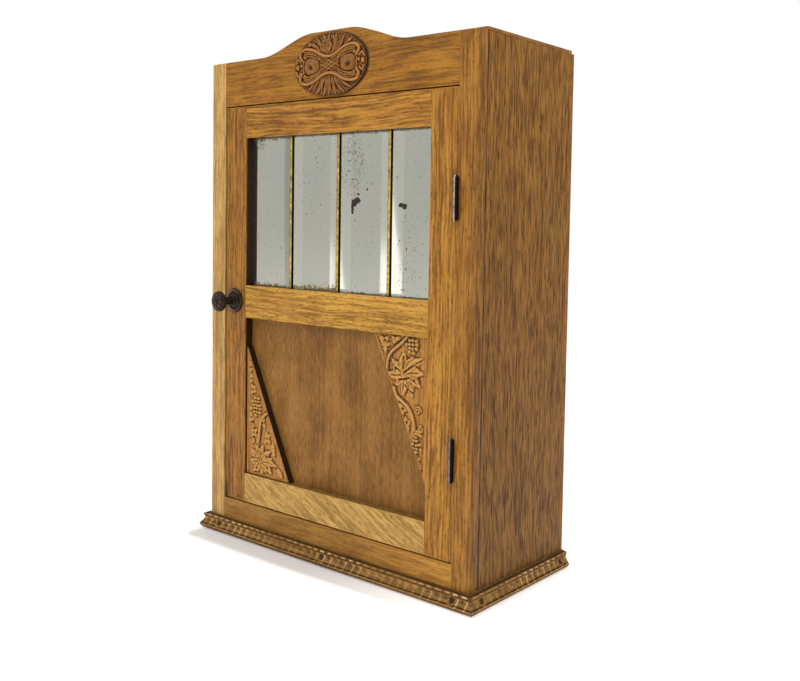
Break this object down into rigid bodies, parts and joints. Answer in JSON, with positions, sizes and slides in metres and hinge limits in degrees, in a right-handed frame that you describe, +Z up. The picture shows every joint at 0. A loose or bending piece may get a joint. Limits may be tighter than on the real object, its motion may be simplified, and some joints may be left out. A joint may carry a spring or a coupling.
{
  "type": "medicine cabinet with mirror",
  "caption": "Small oak wall cabinet with a hinged door of bevelled mirror panes over a plywood panel with carved corners, an arched crest, a carved base moulding and shelves.",
  "frame": {"origin": "middle of the underside, half way between the face frame's front and the back panel's rear", "axes": "+X to the right of someone facing the door, +Y towards the wall, +Z up"},
  "size_m": [0.437, 0.207, 0.6055],
  "materials": {
    "oak_frame": "honey oak, open grain, satin wax",
    "side_veneer": "darker brown veneer with short vertical flecks, satin",
    "plywood": "flat brown plywood, low sheen",
    "carved_wood": "red-gold carved wood with dark recesses",
    "dark_carving": "dark brown carved wood, worn ridges",
    "mirror_glass": "old silvered glass with foxing",
    "brass_came": "aged yellow brass",
    "dark_steel": "darkened steel, rubbed bright on edges",
    "bronze": "near-black bronze",
    "zinc": "dull zinc plate"
  },
  "bodies": {
    "carcass": {"side_panel_left": "side_veneer", "side_panel_right": "side_veneer", "top_panel": "plywood", "bottom_panel": "plywood", "back_panel": "plywood", "shelf_lower": "plywood", "shelf_upper": "plywood", "face_stile_left": "oak_frame", "face_stile_right": "oak_frame", "crest_rail": "oak_frame", "face_rail_bottom": "oak_frame", "crest_medallion": "dark_carving", "base_moulding_front": "dark_carving", "base_moulding_left": "dark_carving", "base_moulding_right": "dark_carving", "latch_keeper": "oak_frame", "hinge_frame_leaf_lower": "dark_steel", "hinge_pin_lower": "dark_steel", "hinge_frame_screw_lower_low": "dark_steel", "hinge_frame_screw_lower_high": "dark_steel", "hinge_frame_leaf_upper": "dark_steel", "hinge_pin_upper": "dark_steel", "hinge_frame_screw_upper_low": "dark_steel", "hinge_frame_screw_upper_high": "dark_steel", "hanger_plate_left": "zinc", "hanger_screw_left_low": "zinc", "hanger_screw_left_high": "zinc", "hanger_plate_right": "zinc", "hanger_screw_right_low": "zinc", "hanger_screw_right_high": "zinc"},
    "door": {"door_stile_knob": "oak_frame", "door_stile_hinge": "oak_frame", "door_rail_top": "oak_frame", "door_rail_middle": "oak_frame", "door_rail_bottom": "oak_frame", "mirror_pane_1": "mirror_glass", "mirror_pane_2": "mirror_glass", "mirror_pane_3": "mirror_glass", "mirror_pane_4": "mirror_glass", "mirror_came_1": "brass_came", "mirror_came_2": "brass_came", "mirror_came_3": "brass_came", "mirror_backing_board": "plywood", "mirror_bead_bottom": "oak_frame", "mirror_bead_top": "oak_frame", "lower_panel": "plywood", "panel_bead_bottom": "oak_frame", "panel_bead_top": "oak_frame", "corner_carving_lower_left": "carved_wood", "corner_carving_upper_right": "carved_wood", "knob_rosette": "bronze", "hinge_door_leaf_lower": "dark_steel", "hinge_door_screw_lower_low": "dark_steel", "hinge_door_screw_lower_high": "dark_steel", "hinge_door_leaf_upper": "dark_steel", "hinge_door_screw_upper_low": "dark_steel", "hinge_door_screw_upper_high": "dark_steel"},
    "latch": {"knob": "bronze", "latch_tongue": "dark_steel", "latch_nut": "dark_steel"}
  },
  "joints": [
    {"name": "door_hinge", "type": "hinge", "parent": "carcass", "child": "door", "pos_m": [0.18225, -0.0914, 0.285], "axis": [0, 0, 1], "range_deg": [0, 170]},
    {"name": "latch_turn", "type": "hinge", "parent": "door", "child": "latch", "pos_m": [-0.165, -0.087, 0.29325], "axis": [0, 1, 0], "range_deg": [0, 90]}
  ]
}
